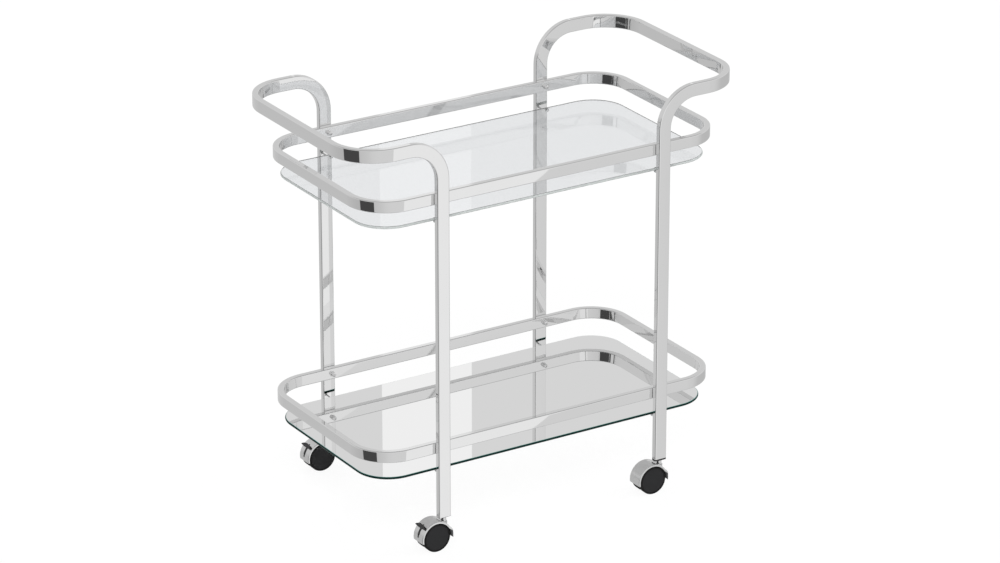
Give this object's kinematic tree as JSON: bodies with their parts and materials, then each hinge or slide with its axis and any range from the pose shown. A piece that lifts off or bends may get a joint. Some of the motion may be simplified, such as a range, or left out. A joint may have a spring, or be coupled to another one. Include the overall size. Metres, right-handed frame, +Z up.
{
  "type": "bar cart",
  "caption": "Chrome bar cart with a clear glass upper shelf, a mirrored lower shelf, guard rings, tube push handles and hooded swivel casters with foot brakes.",
  "frame": {"origin": "on the floor under the middle of the cart", "axes": "+X along the long way, away from the braked casters, +Y across to the back, +Z up"},
  "size_m": [0.838, 0.453, 0.7995],
  "materials": {
    "tube_chrome": "polished chrome plate",
    "hood_chrome": "chrome plate",
    "fastener_steel": "plated steel",
    "clear_glass": "clear, polished edge",
    "mirror_glass": "mirrored, dark green edge",
    "clear_plastic": "clear",
    "black_plastic": "black, satin",
    "wheel_disc": "black, matt",
    "tyre_rubber": "black"
  },
  "bodies": {
    "cart": {"left_frame": "tube_chrome", "right_frame": "tube_chrome", "upper_ring": "tube_chrome", "lower_ring": "tube_chrome", "upper_ring_screws": "fastener_steel", "lower_ring_screws": "fastener_steel", "upper_glass": "clear_glass", "lower_mirror": "mirror_glass", "upper_pins": "fastener_steel", "lower_pins": "fastener_steel", "upper_pads": "clear_plastic", "lower_pads": "clear_plastic", "front_left_plug": "black_plastic", "front_left_stem": "fastener_steel", "front_right_plug": "black_plastic", "front_right_stem": "fastener_steel", "back_left_plug": "black_plastic", "back_left_stem": "fastener_steel", "back_right_plug": "black_plastic", "back_right_stem": "fastener_steel"},
    "front_left_caster": {"front_left_core": "black_plastic", "front_left_hood": "hood_chrome", "front_left_axle": "fastener_steel", "front_left_brake_pin": "fastener_steel"},
    "front_left_outer_wheel": {"front_left_outer_hub": "wheel_disc", "front_left_outer_tyre": "tyre_rubber"},
    "front_left_inner_wheel": {"front_left_inner_hub": "wheel_disc", "front_left_inner_tyre": "tyre_rubber"},
    "front_left_lever": {"front_left_brake_lever": "black_plastic"},
    "front_right_caster": {"front_right_core": "black_plastic", "front_right_hood": "hood_chrome", "front_right_axle": "fastener_steel"},
    "front_right_outer_wheel": {"front_right_outer_hub": "wheel_disc", "front_right_outer_tyre": "tyre_rubber"},
    "front_right_inner_wheel": {"front_right_inner_hub": "wheel_disc", "front_right_inner_tyre": "tyre_rubber"},
    "back_left_caster": {"back_left_core": "black_plastic", "back_left_hood": "hood_chrome", "back_left_axle": "fastener_steel", "back_left_brake_pin": "fastener_steel"},
    "back_left_outer_wheel": {"back_left_outer_hub": "wheel_disc", "back_left_outer_tyre": "tyre_rubber"},
    "back_left_inner_wheel": {"back_left_inner_hub": "wheel_disc", "back_left_inner_tyre": "tyre_rubber"},
    "back_left_lever": {"back_left_brake_lever": "black_plastic"},
    "back_right_caster": {"back_right_core": "black_plastic", "back_right_hood": "hood_chrome", "back_right_axle": "fastener_steel"},
    "back_right_outer_wheel": {"back_right_outer_hub": "wheel_disc", "back_right_outer_tyre": "tyre_rubber"},
    "back_right_inner_wheel": {"back_right_inner_hub": "wheel_disc", "back_right_inner_tyre": "tyre_rubber"}
  },
  "joints": [
    {"name": "front_left_swivel", "type": "hinge", "parent": "cart", "child": "front_left_caster", "pos_m": [-0.237, -0.21, 0.04], "axis": [0, 0, 1], "continuous": true},
    {"name": "front_left_outer_spin", "type": "hinge", "parent": "front_left_caster", "child": "front_left_outer_wheel", "pos_m": [-0.26, -0.21, 0.0275], "axis": [0, 1, 0], "continuous": true},
    {"name": "front_left_inner_spin", "type": "hinge", "parent": "front_left_caster", "child": "front_left_inner_wheel", "pos_m": [-0.26, -0.21, 0.0275], "axis": [0, 1, 0], "continuous": true},
    {"name": "front_left_brake", "type": "hinge", "parent": "front_left_caster", "child": "front_left_lever", "pos_m": [-0.28463, -0.21, 0.0341], "axis": [0, 1, 0], "range_deg": [0, 7]},
    {"name": "front_right_swivel", "type": "hinge", "parent": "cart", "child": "front_right_caster", "pos_m": [0.237, -0.21, 0.04], "axis": [0, 0, 1], "continuous": true},
    {"name": "front_right_outer_spin", "type": "hinge", "parent": "front_right_caster", "child": "front_right_outer_wheel", "pos_m": [0.214, -0.21, 0.0275], "axis": [0, 1, 0], "continuous": true},
    {"name": "front_right_inner_spin", "type": "hinge", "parent": "front_right_caster", "child": "front_right_inner_wheel", "pos_m": [0.214, -0.21, 0.0275], "axis": [0, 1, 0], "continuous": true},
    {"name": "back_left_swivel", "type": "hinge", "parent": "cart", "child": "back_left_caster", "pos_m": [-0.237, 0.21, 0.04], "axis": [0, 0, 1], "continuous": true},
    {"name": "back_left_outer_spin", "type": "hinge", "parent": "back_left_caster", "child": "back_left_outer_wheel", "pos_m": [-0.26, 0.21, 0.0275], "axis": [0, 1, 0], "continuous": true},
    {"name": "back_left_inner_spin", "type": "hinge", "parent": "back_left_caster", "child": "back_left_inner_wheel", "pos_m": [-0.26, 0.21, 0.0275], "axis": [0, 1, 0], "continuous": true},
    {"name": "back_left_brake", "type": "hinge", "parent": "back_left_caster", "child": "back_left_lever", "pos_m": [-0.28463, 0.21, 0.0341], "axis": [0, 1, 0], "range_deg": [0, 7]},
    {"name": "back_right_swivel", "type": "hinge", "parent": "cart", "child": "back_right_caster", "pos_m": [0.237, 0.21, 0.04], "axis": [0, 0, 1], "continuous": true},
    {"name": "back_right_outer_spin", "type": "hinge", "parent": "back_right_caster", "child": "back_right_outer_wheel", "pos_m": [0.214, 0.21, 0.0275], "axis": [0, 1, 0], "continuous": true},
    {"name": "back_right_inner_spin", "type": "hinge", "parent": "back_right_caster", "child": "back_right_inner_wheel", "pos_m": [0.214, 0.21, 0.0275], "axis": [0, 1, 0], "continuous": true}
  ]
}
